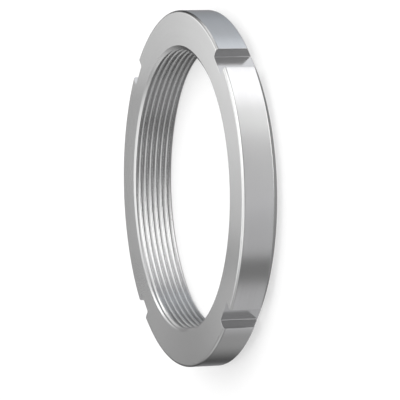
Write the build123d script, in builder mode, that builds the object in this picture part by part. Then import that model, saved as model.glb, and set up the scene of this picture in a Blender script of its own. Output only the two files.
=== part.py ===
"""Bearing lock nut: a slim turned steel ring with a fine thread inside and four spanner slots.

It lies flat. The origin is the centre of the clamp face, which is the underside, and +Z is the
thread's axis, towards the outer face. All sizes are in millimetres.
"""

import os
from math import ceil, radians, tan

from build123d import *

# thread: metric profile, right-hand
thread_diameter = 200.0
thread_pitch = 4.0
flank_angle = 30.0
thread_start = 240.0

# ring, measured from the thread outwards
wall = 25.0
width = 29.0

# mouths of the bore: countersunk a little wider than the thread
mouth_clearance = 0.5
mouth_angle = 30.0

# clamp face: the rim is turned away towards it
clamp_chamfer = 11.5
clamp_chamfer_angle = 30.0

# outer face: the rim is rounded into it
rim_radius = 2.0

# spanner slots, milled across the whole rim
slot_count = 4
slot_width = 18.0
slot_depth = 8.0
slot_corner_radius = 0.8

major_radius = thread_diameter / 2
minor_radius = major_radius - 0.54127 * thread_pitch
outer_radius = major_radius + wall
mouth_radius = major_radius + mouth_clearance
mouth_depth = (mouth_radius - minor_radius) * tan(radians(mouth_angle))
clamp_face_radius = outer_radius - clamp_chamfer
clamp_chamfer_height = clamp_chamfer * tan(radians(clamp_chamfer_angle))

# groove between two turns: its floor is an eighth of the pitch wide, and the cutter's section
# runs on past the bore's wall, along the same flanks
groove_floor = thread_pitch / 8
cutter_radius = minor_radius - thread_pitch / 8
cutter_mouth = groove_floor + 2 * (major_radius - cutter_radius) * tan(radians(flank_angle))

# half a turn of the groove, from one side of the bore to the other
with BuildPart() as half_turn:
    with BuildLine() as groove_path:
        Helix(pitch=thread_pitch, height=thread_pitch / 2, radius=minor_radius)
    with BuildSketch(Plane.XZ) as groove_section:
        with BuildLine():
            Polyline(
                (cutter_radius, -cutter_mouth / 2),
                (major_radius, -groove_floor / 2),
                (major_radius, groove_floor / 2),
                (cutter_radius, cutter_mouth / 2),
                close=True,
            )
        make_face()
    sweep(path=groove_path.line, is_frenet=True)

with BuildPart() as lock_nut:
    # turned section, from the clamp face up to the outer face
    with BuildSketch(Plane.XZ) as ring_section:
        with BuildLine():
            Polyline(
                (mouth_radius, 0),
                (clamp_face_radius, 0),
                (outer_radius, clamp_chamfer_height),
                (outer_radius, width),
                (mouth_radius, width),
                (minor_radius, width - mouth_depth),
                (minor_radius, mouth_depth),
                close=True,
            )
        make_face()
    revolve(axis=Axis.Z)

    # rounded rim of the outer face
    outer_face = lock_nut.faces().sort_by(Axis.Z)[-1]
    rim = outer_face.edges().sort_by(SortBy.RADIUS)[-1]
    fillet(rim, rim_radius)

    # spanner slots: parallel walls, a flat floor and a small radius between them
    with BuildSketch(Plane.XY) as slots:
        with PolarLocations(outer_radius, slot_count):
            RectangleRounded(2 * slot_depth, slot_width, slot_corner_radius)
    extrude(amount=width, mode=Mode.SUBTRACT)

    # thread: half turns set end to end, from below the clamp face to above the outer face
    for step in range(-2, ceil(2 * width / thread_pitch) + 2):
        with Locations(Location((0, 0, step * thread_pitch / 2), (0, 0, thread_start + 180 * step))):
            add(half_turn.part, clean=False, mode=Mode.SUBTRACT)

lock_nut.part.label = "lock_nut"

os.makedirs("parts", exist_ok=True)
export_step(lock_nut.part, "parts/lock_nut.step")
print("outside diameter", 2 * outer_radius, "minor diameter", round(2 * minor_radius, 3))
print("clamp face diameter", round(2 * clamp_face_radius, 2), "mouth depth", round(mouth_depth, 3))
print("volume", round(lock_nut.part.volume), "mm3", len(lock_nut.faces()), lock_nut.part.is_valid)
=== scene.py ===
# %% [markdown]
# # A bearing lock nut
#
# The object is one turned steel ring. It screws onto a shaft and holds a bearing in its place, and
# a hook spanner grips it by the four slots in its rim. Inside runs a fine thread of seven turns.
#
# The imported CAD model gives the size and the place. The ring is built again here with far more
# segments than a CAD mesh has, because polished metal mirrors its surroundings, and in a mirror
# every facet shows. The nut lies on its clamp face, the chamfered side, with the thread's axis up.

from math import cos, hypot, pi, radians, sin, tan

import bmesh
import bpy
from mathutils import Matrix, Vector


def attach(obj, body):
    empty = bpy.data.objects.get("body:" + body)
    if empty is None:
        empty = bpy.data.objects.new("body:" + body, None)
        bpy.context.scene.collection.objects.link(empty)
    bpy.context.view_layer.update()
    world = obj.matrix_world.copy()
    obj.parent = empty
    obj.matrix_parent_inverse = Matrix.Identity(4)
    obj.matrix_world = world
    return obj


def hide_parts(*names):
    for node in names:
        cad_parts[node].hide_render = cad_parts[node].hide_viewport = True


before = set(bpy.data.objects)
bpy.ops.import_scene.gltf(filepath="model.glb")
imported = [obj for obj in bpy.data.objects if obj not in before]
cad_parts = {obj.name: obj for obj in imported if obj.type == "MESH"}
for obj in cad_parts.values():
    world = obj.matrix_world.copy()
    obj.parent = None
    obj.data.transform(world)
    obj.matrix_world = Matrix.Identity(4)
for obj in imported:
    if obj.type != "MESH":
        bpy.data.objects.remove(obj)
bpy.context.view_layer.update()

# %% [markdown]
# ## Sizes
#
# Such nuts follow a standard, so their sizes are round numbers. They are written down once here,
# in metres, and every step below reads them from here. A metric thread's profile follows from its
# pitch: the groove is 0.54127 pitches deep, an eighth of a pitch wide at its floor and three
# quarters at its mouth. Both cones of the bore and the clamp face's chamfer lie at thirty degrees.

# %% Sizes of the nut
MM = 0.001
THREAD_RADIUS = 100 * MM
PITCH = 4 * MM
THREAD_START = radians(240)
GROOVE_DEPTH = 0.54127 * PITCH
GROOVE_FLOOR = PITCH / 8
GROOVE_MOUTH = PITCH * 3 / 4
WALL = 25 * MM
WIDTH = 29 * MM
MOUTH_CLEARANCE = 0.5 * MM
CLAMP_CHAMFER = 11.5 * MM
CHAMFER_SLOPE = tan(radians(30))
SLOTS = 4
SLOT_WIDTH = 18 * MM
SLOT_DEPTH = 8 * MM
RIM_RADIUS = THREAD_RADIUS + WALL
CREST_RADIUS = THREAD_RADIUS - GROOVE_DEPTH
MOUTH_RADIUS = THREAD_RADIUS + MOUTH_CLEARANCE
print("outside diameter", 2 * RIM_RADIUS, "thread crests", round(2 * CREST_RADIUS, 5))

# %% Radii on its edges, and how fine the mesh is
RIM_ROUNDING = 2 * MM
LATHE_EDGE = 0.3 * MM
CREST_ROUNDING = 0.3 * MM
ROOT_ROUNDING = CREST_ROUNDING / 2
SLOT_CORNER = 0.8 * MM
SLOT_EDGE = 0.21 * MM
TURN_STEPS = 360
MERGE = 0.001 * MM
SLIVER = 0.01 * MM
print("one step round the rim is", round(2 * pi * RIM_RADIUS / TURN_STEPS / MM, 2), "mm")

# %% [markdown]
# ## Camera
#
# A photo fixes its camera. Its place and angle were found by matching the ring's outlines, the
# slots' corners and the thread's crest lines. It is a long lens about two metres away, which looks
# down on the lying ring from about twenty degrees and is turned by about a quarter turn, so that
# the ring seems to stand on its rim.

# %% Camera
CAMERA_PLACE = Vector((1.37166, -1.34597, 0.70908))
CAMERA_AIM = Vector((-0.00565, -0.00606, 0.01401))
CAMERA_ROLL = radians(-91.708)
FOCAL_LENGTH = 261.67
SENSOR_WIDTH = 36

camera = bpy.data.objects.new("camera", bpy.data.cameras.new("camera"))
camera.data.sensor_width = SENSOR_WIDTH
camera.data.lens = FOCAL_LENGTH
look = (CAMERA_AIM - CAMERA_PLACE).to_track_quat("-Z", "Y").to_matrix().to_4x4()
camera.matrix_world = Matrix.Translation(CAMERA_PLACE) @ look @ Matrix.Rotation(CAMERA_ROLL, 4, "Z")
bpy.context.scene.collection.objects.link(camera)
bpy.context.scene.camera = camera
print("camera at", CAMERA_PLACE, "distance", round((CAMERA_AIM - CAMERA_PLACE).length, 3))

# %% [markdown]
# ## The turned blank
#
# A lathe makes the ring: a tool follows the section while the steel turns. The spin operator does
# the same. The section is drawn once as a flat face, its corners are rounded while they are still
# plain points, and then it is swept round the axis. A full spin merges its last ring with the first.

# %% Helpers: round off a bmesh, and turn it into an object
def round_off(shape, parts, radius, segments, affect):
    """Rounds points (affect "VERTICES") or edges (affect "EDGES") of a bmesh."""
    bmesh.ops.bevel(
        shape,
        geom=parts,
        offset=radius,
        offset_type="OFFSET",
        segments=segments,
        profile=0.5,
        affect=affect,
        material=-1,
    )


def as_object(shape, name):
    """Turns a bmesh into a mesh object at the world's origin, with outward normals."""
    bmesh.ops.remove_doubles(shape, verts=shape.verts, dist=MERGE)
    bmesh.ops.recalc_face_normals(shape, faces=shape.faces)
    mesh = bpy.data.meshes.new(name)
    shape.to_mesh(mesh)
    shape.free()
    piece = bpy.data.objects.new(name, mesh)
    bpy.context.scene.collection.objects.link(piece)
    print(name, len(mesh.vertices), "vertices", len(mesh.polygons), "faces")
    return piece


# %% Section of the blank, spun into a ring
BORE_RADIUS = CREST_RADIUS - MM
cone_depth = (MOUTH_RADIUS - BORE_RADIUS) * CHAMFER_SLOPE

blank = bmesh.new()
section = [
    (MOUTH_RADIUS, 0),
    (RIM_RADIUS - CLAMP_CHAMFER, 0),
    (RIM_RADIUS, CLAMP_CHAMFER * CHAMFER_SLOPE),
    (RIM_RADIUS, WIDTH),
    (MOUTH_RADIUS, WIDTH),
    (BORE_RADIUS, WIDTH - cone_depth),
    (BORE_RADIUS, cone_depth),
]
corners = [blank.verts.new((radius, 0, height)) for radius, height in section]
blank.faces.new(corners)
clamp_corner, chamfer_corner, rim_corner = corners[1:4]
round_off(blank, [rim_corner], RIM_ROUNDING, 8, "VERTICES")
round_off(blank, [chamfer_corner], LATHE_EDGE, 2, "VERTICES")
round_off(blank, [clamp_corner], LATHE_EDGE, 2, "VERTICES")
bmesh.ops.delete(blank, geom=blank.faces[:], context="FACES_ONLY")
bmesh.ops.spin(
    blank,
    geom=blank.verts[:] + blank.edges[:],
    cent=(0, 0, 0),
    axis=(0, 0, 1),
    angle=2 * pi,
    steps=TURN_STEPS,
    use_merge=True,
)
ring = as_object(blank, "lock_nut_turned")

# %% [markdown]
# ## The thread
#
# A thread is a groove that climbs one pitch with each turn, with flanks at sixty degrees. Here one
# groove's section is drawn, its corners are rounded, it is repeated up the axis, and all of it is
# spun with a small rise at every step, so that after a full turn each groove meets the start of the
# next one above it. Cut level at both ends and closed, this is a tap, the tool that cuts threads.
# The blank's bore is still a little too narrow, and taking the tap away opens it to the true
# thread, which runs out through the cones at both mouths just as a real one does.

# %% Tap: the grooves as one helical solid
GROOVES = 11
GROOVES_BELOW = 2

tap = bmesh.new()
tooth_section = [
    (BORE_RADIUS, -PITCH / 2),
    (CREST_RADIUS, -PITCH / 2),
    (CREST_RADIUS, -GROOVE_MOUTH / 2),
    (THREAD_RADIUS, -GROOVE_FLOOR / 2),
    (THREAD_RADIUS, GROOVE_FLOOR / 2),
    (CREST_RADIUS, GROOVE_MOUTH / 2),
    (CREST_RADIUS, PITCH / 2),
    (BORE_RADIUS, PITCH / 2),
]
tooth = [tap.verts.new((radius, 0, height)) for radius, height in tooth_section]
tap.faces.new(tooth)
lower_crest, lower_root, upper_root, upper_crest = tooth[2:6]
round_off(tap, [lower_root, upper_root], ROOT_ROUNDING, 3, "VERTICES")
round_off(tap, [lower_crest, upper_crest], CREST_ROUNDING, 3, "VERTICES")
core = [v for v in tap.verts if v.co.x < (BORE_RADIUS + CREST_RADIUS) / 2]
bmesh.ops.delete(tap, geom=core, context="VERTS")
one_groove = tap.verts[:] + tap.edges[:]
for groove in range(1, GROOVES):
    added = bmesh.ops.duplicate(tap, geom=one_groove)["geom"]
    points = [v for v in added if isinstance(v, bmesh.types.BMVert)]
    bmesh.ops.translate(tap, vec=(0, 0, groove * PITCH), verts=points)
bmesh.ops.remove_doubles(tap, verts=tap.verts, dist=MERGE)
print("section of the tap", len(tap.verts), "points")
bmesh.ops.translate(tap, vec=(0, 0, -GROOVES_BELOW * PITCH), verts=tap.verts)
bmesh.ops.rotate(tap, cent=(0, 0, 0), matrix=Matrix.Rotation(THREAD_START, 3, "Z"), verts=tap.verts)
bmesh.ops.spin(
    tap,
    geom=tap.verts[:] + tap.edges[:],
    cent=(0, 0, 0),
    axis=(0, 0, 1),
    dvec=(0, 0, PITCH / TURN_STEPS),
    angle=2 * pi,
    steps=TURN_STEPS,
)
bmesh.ops.remove_doubles(tap, verts=tap.verts, dist=MERGE)

# %% Ends of the tap, cut level and closed
for height, outwards in ((-MM, -1), (WIDTH + MM, 1)):
    everything = tap.verts[:] + tap.edges[:] + tap.faces[:]
    bmesh.ops.bisect_plane(
        tap,
        geom=everything,
        dist=MERGE / 10,
        plane_co=(0, 0, height),
        plane_no=(0, 0, outwards),
        clear_outer=True,
    )
    cut_edges = [e for e in tap.edges if e.is_boundary and abs(e.verts[0].co.z - height) < SLIVER]
    bmesh.ops.contextual_create(tap, geom=cut_edges)
thread_tap = as_object(tap, "thread_tap")

# %% [markdown]
# ## The spanner slots
#
# A mill cuts the slots straight across the rim. Its cutter leaves a flat floor, parallel walls and
# a small radius between them. The cutter here is a cube with its two inner edges rounded, and the
# spin operator, told to make copies, sets it down four times round the rim.

# %% Slot cutters
cutters = bmesh.new()
bmesh.ops.create_cube(cutters, size=1)
bmesh.ops.scale(cutters, vec=(2 * SLOT_DEPTH, SLOT_WIDTH, 2 * WIDTH), verts=cutters.verts)
bmesh.ops.translate(cutters, vec=(RIM_RADIUS, 0, WIDTH / 2), verts=cutters.verts)
inner_edges = []
for edge in cutters.edges:
    start, end = (v.co for v in edge.verts)
    upright = abs(start.z - end.z) > MM and abs(start.y - end.y) < MM
    if upright and start.x < RIM_RADIUS and end.x < RIM_RADIUS:
        inner_edges.append(edge)
round_off(cutters, inner_edges, SLOT_CORNER, 6, "EDGES")
bmesh.ops.spin(
    cutters,
    geom=cutters.verts[:] + cutters.edges[:] + cutters.faces[:],
    cent=(0, 0, 0),
    axis=(0, 0, 1),
    angle=2 * pi * (SLOTS - 1) / SLOTS,
    steps=SLOTS - 1,
    use_duplicate=True,
)
slot_cutters = as_object(cutters, "slot_cutters")

# %% Cut the thread and the slots
for cutter in (thread_tap, slot_cutters):
    cut = ring.modifiers.new(cutter.name, "BOOLEAN")
    cut.operation = "DIFFERENCE"
    cut.solver = "EXACT"
    cut.object = cutter
scene_now = bpy.context.evaluated_depsgraph_get()
cut_mesh = bpy.data.meshes.new_from_object(ring.evaluated_get(scene_now))
ring.modifiers.clear()
cut_mesh.materials.clear()
ring.data = cut_mesh
for cutter in (thread_tap, slot_cutters):
    bpy.data.objects.remove(cutter)
print("cut ring", len(cut_mesh.vertices), "vertices", len(cut_mesh.polygons), "faces")

# %% [markdown]
# ## Edges and shading
#
# Milling leaves edges too sharp to handle, so the slots' edges are broken with a hair of a bevel.
# Smooth shading then runs over every gentle corner and stops at every sharp one. The big flat faces
# would still catch a false bend from the small ones beside them, and the Weighted Normal modifier
# cures that: each corner takes its direction from the largest face that meets there.

# %% Helper: which faces belong to a slot
FLOOR_RADIUS = RIM_RADIUS - SLOT_DEPTH
NEARLY_UPRIGHT = 0.01


def in_slot(face):
    """True on a slot's walls and floor: upright faces of the slot's own outline."""
    centre = face.calc_center_median()
    across, along = sorted((abs(centre.x), abs(centre.y)))
    wall = abs(across - SLOT_WIDTH / 2) < 2 * SLIVER and along > FLOOR_RADIUS
    floor = across < SLOT_WIDTH / 2 and abs(along - FLOOR_RADIUS) < SLOT_CORNER
    return abs(face.normal.z) < NEARLY_UPRIGHT and (wall or floor)


# %% Break the slots' edges
SHARP = radians(25)

shape = bmesh.new()
shape.from_mesh(ring.data)
bmesh.ops.remove_doubles(shape, verts=shape.verts, dist=SLIVER)
bmesh.ops.dissolve_degenerate(shape, edges=shape.edges, dist=SLIVER)
slot_faces = {face for face in shape.faces if in_slot(face)}
slot_edges = [
    edge
    for edge in shape.edges
    if len(edge.link_faces) == 2
    and edge.calc_face_angle_signed() > SHARP
    and any(face in slot_faces for face in edge.link_faces)
]
round_off(shape, slot_edges, SLOT_EDGE, 2, "EDGES")
print("slot faces", len(slot_faces), "broken edges", len(slot_edges))
print("open edges", sum(not e.is_manifold for e in shape.edges), "volume", shape.calc_volume() / MM**3)

# %% Smooth shading, and which finish each face has
TURNED, THREADED, MILLED = range(3)
FLAT = cos(radians(5))

for face in shape.faces:
    centre = face.calc_center_median()
    face.smooth = True
    face.material_index = TURNED
    if hypot(centre.x, centre.y) < MOUTH_RADIUS and abs(face.normal.z) < FLAT:
        face.material_index = THREADED
    elif in_slot(face):
        face.material_index = MILLED
for edge in shape.edges:
    edge.smooth = len(edge.link_faces) == 2 and edge.calc_face_angle() < SHARP
shape.to_mesh(ring.data)
shape.free()
even = ring.modifiers.new("even_normals", "WEIGHTED_NORMAL")
even.keep_sharp = True
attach(ring, "root")
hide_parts("lock_nut")

# %% [markdown]
# ## Bright steel
#
# The nut is bare steel, fine turned, so it is all metal, with no paint over it. Its surfaces differ
# by how the tool left them: the lathe leaves fine rings round the axis, the mill leaves short strokes
# across a slot. The rings spread a reflection across them and keep it narrow along them, which is
# what the shader's anisotropy does. The slots' faces also get a darker colour, which is painted
# shade in the slots, and the floors of the thread's grooves are darkened with painted shade too.
#
# Rings and strokes are the same effect on another track, so they come from one node group. It takes
# the distance measured across the marks, and gives their height and a slow, cloudy change of finish.

# %% Helpers for node trees
def add_node(tree, kind, **settings):
    """A new node with its settings."""
    node = tree.nodes.new(kind)
    for setting, value in settings.items():
        setattr(node, setting, value)
    return node


def set_inputs(node, **values):
    """Sets a node's inputs by name, with an underscore for each space."""
    for name, value in values.items():
        node.inputs[name.replace("_", " ")].default_value = value


def math_node(tree, operation, *values):
    """A maths node on values that are each a number or another node's output."""
    node = add_node(tree, "ShaderNodeMath", operation=operation)
    for socket, value in zip(node.inputs, values):
        if isinstance(value, (int, float)):
            socket.default_value = value
        else:
            tree.links.new(value, socket)
    return node.outputs[0]


# %% Node group: the marks a tool leaves
DRAWN_OUT = 0.3

tool_marks = bpy.data.node_groups.new("tool_marks", "ShaderNodeTree")
link = tool_marks.links.new
for name, way, kind in (
    ("Across", "INPUT", "NodeSocketFloat"),
    ("Position", "INPUT", "NodeSocketVector"),
    ("Spacing", "INPUT", "NodeSocketFloat"),
    ("Height", "OUTPUT", "NodeSocketFloat"),
    ("Clouds", "OUTPUT", "NodeSocketFloat"),
):
    tool_marks.interface.new_socket(name=name, in_out=way, socket_type=kind)
group_in = add_node(tool_marks, "NodeGroupInput")
group_out = add_node(tool_marks, "NodeGroupOutput")
track = math_node(tool_marks, "DIVIDE", group_in.outputs["Across"], group_in.outputs["Spacing"])
round_axis = add_node(tool_marks, "ShaderNodeVectorMath", operation="NORMALIZE")
link(group_in.outputs["Position"], round_axis.inputs[0])
drawn_out = add_node(tool_marks, "ShaderNodeVectorMath", operation="SCALE")
set_inputs(drawn_out, Scale=DRAWN_OUT)
link(round_axis.outputs[0], drawn_out.inputs[0])
split = add_node(tool_marks, "ShaderNodeSeparateXYZ")
link(drawn_out.outputs[0], split.inputs[0])
lane = add_node(tool_marks, "ShaderNodeCombineXYZ")
for axis, value in zip("XYZ", (track, split.outputs["X"], split.outputs["Y"])):
    link(value, lane.inputs[axis])
lines = add_node(tool_marks, "ShaderNodeTexNoise", noise_dimensions="3D")
set_inputs(lines, Scale=1, Detail=3, Roughness=0.6)
link(lane.outputs[0], lines.inputs["Vector"])
clouds = add_node(tool_marks, "ShaderNodeTexNoise", noise_dimensions="3D")
set_inputs(clouds, Scale=14, Detail=3)
link(group_in.outputs["Position"], clouds.inputs["Vector"])
link(lines.outputs["Fac"], group_out.inputs["Height"])
link(clouds.outputs["Fac"], group_out.inputs["Clouds"])
print("group", tool_marks.name, [n.bl_idname for n in tool_marks.nodes])

# %% Helpers: the distance from the axis, the way round it, and painted shade in the grooves
def distance_from_axis(tree, parts):
    """How far a point lies from the thread's axis."""
    squares = [math_node(tree, "MULTIPLY", parts.outputs[axis], parts.outputs[axis]) for axis in "XY"]
    return math_node(tree, "SQRT", math_node(tree, "ADD", *squares))


def way_round(tree, place):
    """The direction in which the lathe's tool passed a point."""
    across = add_node(tree, "ShaderNodeVectorMath", operation="CROSS_PRODUCT")
    across.inputs[0].default_value = (0, 0, 1)
    tree.links.new(place, across.inputs[1])
    along = add_node(tree, "ShaderNodeVectorMath", operation="NORMALIZE")
    tree.links.new(across.outputs[0], along.inputs[0])
    return along.outputs[0]


def paint_groove_shade(tree, colour, parts, groove_shade):
    """Painted shade: a colour that darkens from the thread's crests to its grooves' floors."""
    groove_shade_level = add_node(tree, "ShaderNodeMapRange")
    set_inputs(groove_shade_level, From_Min=CREST_RADIUS, From_Max=THREAD_RADIUS, To_Min=1, To_Max=groove_shade)
    tree.links.new(distance_from_axis(tree, parts), groove_shade_level.inputs["Value"])
    darker = add_node(tree, "ShaderNodeVectorMath", operation="SCALE")
    tree.links.new(colour, darker.inputs[0])
    tree.links.new(groove_shade_level.outputs["Result"], darker.inputs["Scale"])
    return darker.outputs["Vector"]


# %% [markdown]
# A noise texture seldom leaves the middle of its range, so that middle is stretched to the whole
# change of finish. The change is small: a fiftieth in brightness, and a few hundredths in roughness.

# %% The three finishes of the same steel
NOISE_LOW = 0.35
NOISE_HIGH = 0.65
LIGHTEST = 1.02
DARKEST = 0.98
QUARTER_TURN = 0.25


def steel_finish(name, bright, spacing, depth, rough, anisotropy, turned=True, groove_shade=1):
    """Bare steel with tool marks: rings round the axis where it is turned, or else strokes.

    A value below 1 darkens the floors of the thread's grooves with painted shade.
    """
    finish = bpy.data.materials.new(name)
    finish.use_nodes = True
    tree = finish.node_tree
    link = tree.links.new
    steel = tree.nodes["Principled BSDF"]
    set_inputs(steel, Metallic=1, Anisotropic=anisotropy, Anisotropic_Rotation=QUARTER_TURN)
    place = add_node(tree, "ShaderNodeTexCoord").outputs["Object"]
    parts = add_node(tree, "ShaderNodeSeparateXYZ")
    link(place, parts.inputs[0])
    track = parts.outputs["Z"]
    if turned:
        track = math_node(tree, "ADD", distance_from_axis(tree, parts), track)
        link(way_round(tree, place), steel.inputs["Tangent"])
    marks = add_node(tree, "ShaderNodeGroup", node_tree=tool_marks)
    link(track, marks.inputs["Across"])
    link(place, marks.inputs["Position"])
    set_inputs(marks, Spacing=spacing)
    sum_of_both = math_node(tree, "ADD", marks.outputs["Height"], marks.outputs["Clouds"])
    change = math_node(tree, "MULTIPLY", sum_of_both, 1 / 2)
    gloss = add_node(tree, "ShaderNodeMapRange")
    set_inputs(gloss, From_Min=NOISE_LOW, From_Max=NOISE_HIGH, To_Min=rough[0], To_Max=rough[1])
    link(change, gloss.inputs["Value"])
    link(gloss.outputs["Result"], steel.inputs["Roughness"])
    tint = add_node(tree, "ShaderNodeValToRGB")
    ends = ((NOISE_LOW, LIGHTEST), (NOISE_HIGH, DARKEST))
    for stop, (position, shade) in zip(tint.color_ramp.elements, ends):
        stop.position = position
        stop.color = (bright * shade, bright * shade, bright * shade, 1)
    link(change, tint.inputs["Fac"])
    colour = tint.outputs["Color"]
    # Painted shade: the floors of the thread's grooves are made darker.
    if groove_shade < 1:
        colour = paint_groove_shade(tree, colour, parts, groove_shade)
    link(colour, steel.inputs["Base Color"])
    bump = add_node(tree, "ShaderNodeBump")
    set_inputs(bump, Strength=1, Distance=depth)
    link(marks.outputs["Height"], bump.inputs["Height"])
    link(bump.outputs["Normal"], steel.inputs["Normal"])
    print(name, "marks", round(spacing / MM, 2), "mm apart, roughness", rough)
    return finish


finishes = (
    steel_finish("turned_steel", 0.63, 1.2 * MM, 0.001 * MM, rough=(0.24, 0.27), anisotropy=0.6),
    # The thread's darker groove floors are painted shade.
    steel_finish("thread_steel_shaded_grooves", 0.62, 0.8 * MM, 0.004 * MM, rough=(0.2, 0.28), anisotropy=0.2, groove_shade=0.86),
    # The milled finish's darker colour is painted shade in the slots; its roughness and strokes are the
    # mill's.
    steel_finish("milled_steel_shaded", 0.5, 0.9 * MM, 0.001 * MM, rough=(0.16, 0.2), anisotropy=0, turned=False),
)
for finish in finishes:
    ring.data.materials.append(finish)
shares = [sum(face.material_index == n for face in ring.data.polygons) for n in range(len(finishes))]
print("slots", [finish.name for finish in ring.data.materials], "faces", shares)

# %% [markdown]
# ## The studio
#
# The nut lies on a plain white floor. Half of what the camera sees of the floor is its lit surface,
# which carries the nut's soft shadow, and half is a plain white glow, which keeps the background
# white. Light Path picks out the rays that the glow is meant for.
#
# Polished metal is a mirror, so what it shows is mostly its surroundings, and these are drawn here
# as a world. The upright rim mirrors whatever lies about twenty degrees below the horizon. There a
# belt of light runs all round, and a colour ramp gives its brightness for each direction. All other
# surfaces mirror large soft lamps. The floor is hidden from the metal's reflections, or it would
# stand in front of the belt.

# %% Floor
FLOOR_REACH = 8
FLOOR_WHITE = (0.95, 0.95, 0.95, 1)
GLOW = 0.5

floor_shape = bmesh.new()
bmesh.ops.create_grid(floor_shape, x_segments=1, y_segments=1, size=FLOOR_REACH)
floor = as_object(floor_shape, "floor")
floor.visible_glossy = False
floor.visible_shadow = False

white_floor = bpy.data.materials.new("white_floor")
white_floor.use_nodes = True
tree = white_floor.node_tree
surface = tree.nodes["Principled BSDF"]
set_inputs(surface, Base_Color=FLOOR_WHITE, Roughness=0.9)
rays = add_node(tree, "ShaderNodeLightPath").outputs
seen = math_node(tree, "MAXIMUM", rays["Is Camera Ray"], rays["Is Glossy Ray"])
seen = math_node(tree, "MAXIMUM", seen, rays["Is Transmission Ray"])
glow = add_node(tree, "ShaderNodeEmission")
blend = add_node(tree, "ShaderNodeMixShader")
tree.links.new(math_node(tree, "MULTIPLY", seen, GLOW), blend.inputs["Fac"])
tree.links.new(surface.outputs["BSDF"], blend.inputs[1])
tree.links.new(glow.outputs["Emission"], blend.inputs[2])
tree.links.new(blend.outputs["Shader"], tree.nodes["Material Output"].inputs["Surface"])
floor.data.materials.append(white_floor)
print("floor", white_floor.name, "glow", GLOW)

# %% [markdown]
# Each light below was first rendered alone, which showed the part of the ring that it reaches and
# about how bright it has to be. A row of the belt is an azimuth in degrees, measured from +X, and
# the brightness there. The belt is a little cool, and one part of it is as blue as a window. A row
# of the lamps is an azimuth, a height above the horizon and a spread, all in degrees, and the
# brightness.

# %% What surrounds the nut
COOL = (1, 1, 1.025)
SKY_BLUE = (0.945, 1, 1.075)
SKY_FROM = 50
SKY_TO = 115
BELT_HEIGHT = -0.34
BELT_SPREAD = 0.13
BELT = (
    (-180, 0),
    (-155, 0),
    (-145, 0.6),
    (-125, 0.7),
    (-113, 0.55),
    (-105, 0),
    (-93, 0),
    (-87, 0.65),
    (-75, 0.75),
    (-55, 1),
    (-35, 0.5),
    (-15, 0),
    (5, 0),
    (20, 2),
    (36, 2.7),
    (46, 1.2),
    (54, 1.5),
    (60, 1.3),
    (70, 0.7),
    (90, 0.6),
    (105, 0.4),
    (120, 0.3),
    (135, 0.45),
    (150, 0.3),
    (165, 0),
    (180, 0),
)
LAMPS = (
    (135, -62, 16, 0.6),
    (-85, -47, 9, 0.9),
    (-40, -47, 9, 2.1),
    (-20, -47, 9, 2.9),
    (0, -47, 9, 3.2),
    (20, -47, 9, 1.9),
    (-165, -38, 12, 1),
    (-110, -38, 12, 0.45),
    (5, -38, 12, 1.6),
    (70, 5, 9, 1.5),
    (126, 6, 6, 0.6),
    (-165, 15, 14, 0.7),
    (-125, 15, 14, 0.7),
    (155, 20, 8, 0.4),
    (-75, 22, 18, 0.8),
    (15, 22, 16, 1.2),
    (126, 27, 6, 1),
    (82, 28, 10, 0.4),
    (118, 34, 8, 1.4),
    (-15, 45, 22, 1.9),
    (180, 50, 16, 0.5),
    (-90, 50, 16, 1.1),
    (45, 52, 22, 1.5),
    (135, 58, 9, 1.5),
    (177, 62, 9, 0.8),
    (135, 76, 12, 0.9),
)
print("belt stops", len(BELT), "lamps", len(LAMPS))


# %% The belt: a ramp round the horizon, brightest at its own height
def belt_colour(azimuth, brightness):
    """A stop's colour: a little cool, or blue where the window is."""
    tint = SKY_BLUE if SKY_FROM < azimuth < SKY_TO else COOL
    return [brightness * share for share in tint] + [1]


world = bpy.data.worlds.new("studio")
bpy.context.scene.world = world
world.use_nodes = True
sky = world.node_tree
facing = add_node(sky, "ShaderNodeTexCoord").outputs["Generated"]
parts = add_node(sky, "ShaderNodeSeparateXYZ")
sky.links.new(facing, parts.inputs[0])
bearing = math_node(sky, "ARCTAN2", parts.outputs["Y"], parts.outputs["X"])
belt = add_node(sky, "ShaderNodeValToRGB")
sky.links.new(math_node(sky, "MULTIPLY_ADD", bearing, 1 / (2 * pi), 1 / 2), belt.inputs["Fac"])
stops = belt.color_ramp.elements
for stop, (azimuth, brightness) in zip(stops, (BELT[0], BELT[-1])):
    stop.color = belt_colour(azimuth, brightness)
for azimuth, brightness in BELT[1:-1]:
    stops.new((azimuth + 180) / 360).color = belt_colour(azimuth, brightness)
rise = math_node(sky, "MULTIPLY_ADD", parts.outputs["Z"], 1 / BELT_SPREAD, -BELT_HEIGHT / BELT_SPREAD)
fade = math_node(sky, "EXPONENT", math_node(sky, "MULTIPLY", math_node(sky, "MULTIPLY", rise, rise), -1))
belt_light = add_node(sky, "ShaderNodeVectorMath", operation="SCALE")
sky.links.new(belt.outputs["Color"], belt_light.inputs[0])
sky.links.new(fade, belt_light.inputs["Scale"])
print("world", world.name, "belt at height", BELT_HEIGHT)

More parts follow.
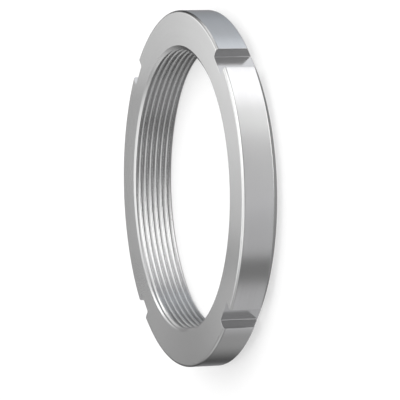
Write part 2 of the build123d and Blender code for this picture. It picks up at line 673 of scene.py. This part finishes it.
# %% Soft lamps: each is brightest at its centre and fades evenly to all sides
lamp_light = 0
for azimuth, height, spread, brightness in LAMPS:
    level = cos(radians(height))
    centre = (cos(radians(azimuth)) * level, sin(radians(azimuth)) * level, sin(radians(height)))
    nearness = add_node(sky, "ShaderNodeVectorMath", operation="DOT_PRODUCT")
    sky.links.new(facing, nearness.inputs[0])
    nearness.inputs[1].default_value = centre
    sharpness = 1 / radians(spread) ** 2
    falloff = math_node(sky, "MULTIPLY_ADD", nearness.outputs["Value"], sharpness, -sharpness)
    lamp_light = math_node(sky, "MULTIPLY_ADD", math_node(sky, "EXPONENT", falloff), brightness, lamp_light)
light = add_node(sky, "ShaderNodeVectorMath", operation="ADD")
sky.links.new(belt_light.outputs["Vector"], light.inputs[0])
sky.links.new(lamp_light, light.inputs[1])
sky.links.new(light.outputs["Vector"], sky.nodes["Background"].inputs["Color"])
bpy.context.scene.view_settings.view_transform = "Standard"
print("nodes in the world", len(sky.nodes))

# %% [markdown]
# A lamp far away lights the flat face evenly. In the photo the face pales from one side to the
# other, and only a panel close by does that, because each part of the face mirrors another part
# of it. The panels hang behind the nut, side by side as on a wall, and point at it. A row is the
# place along the wall, the height and the brightness.

# %% Panels close to the nut
WALL_BEARING = radians(135)
WALL_DISTANCE = 0.45
PANEL_SIDE = 0.12
PANEL_AIM = Vector((0, 0, 0.02))
PANELS = (
    (0.14, 0.19, 0.1),
    (0.14, 0.31, 0.65),
    (0, 0.31, 0.7),
    (-0.14, 0.19, 0.35),
    (-0.14, 0.43, 2.6),
)

wall = Matrix.Rotation(WALL_BEARING, 3, "Z")
for along, height, brightness in PANELS:
    panel = bpy.data.lights.new("panel", "AREA")
    panel.size = PANEL_SIDE
    panel.energy = brightness * pi * PANEL_SIDE**2
    stand = bpy.data.objects.new("panel", panel)
    stand.location = wall @ Vector((WALL_DISTANCE, along, height))
    stand.rotation_euler = (PANEL_AIM - stand.location).to_track_quat("-Z", "Y").to_euler()
    stand.visible_camera = False
    bpy.context.scene.collection.objects.link(stand)
print("panels", len(PANELS))
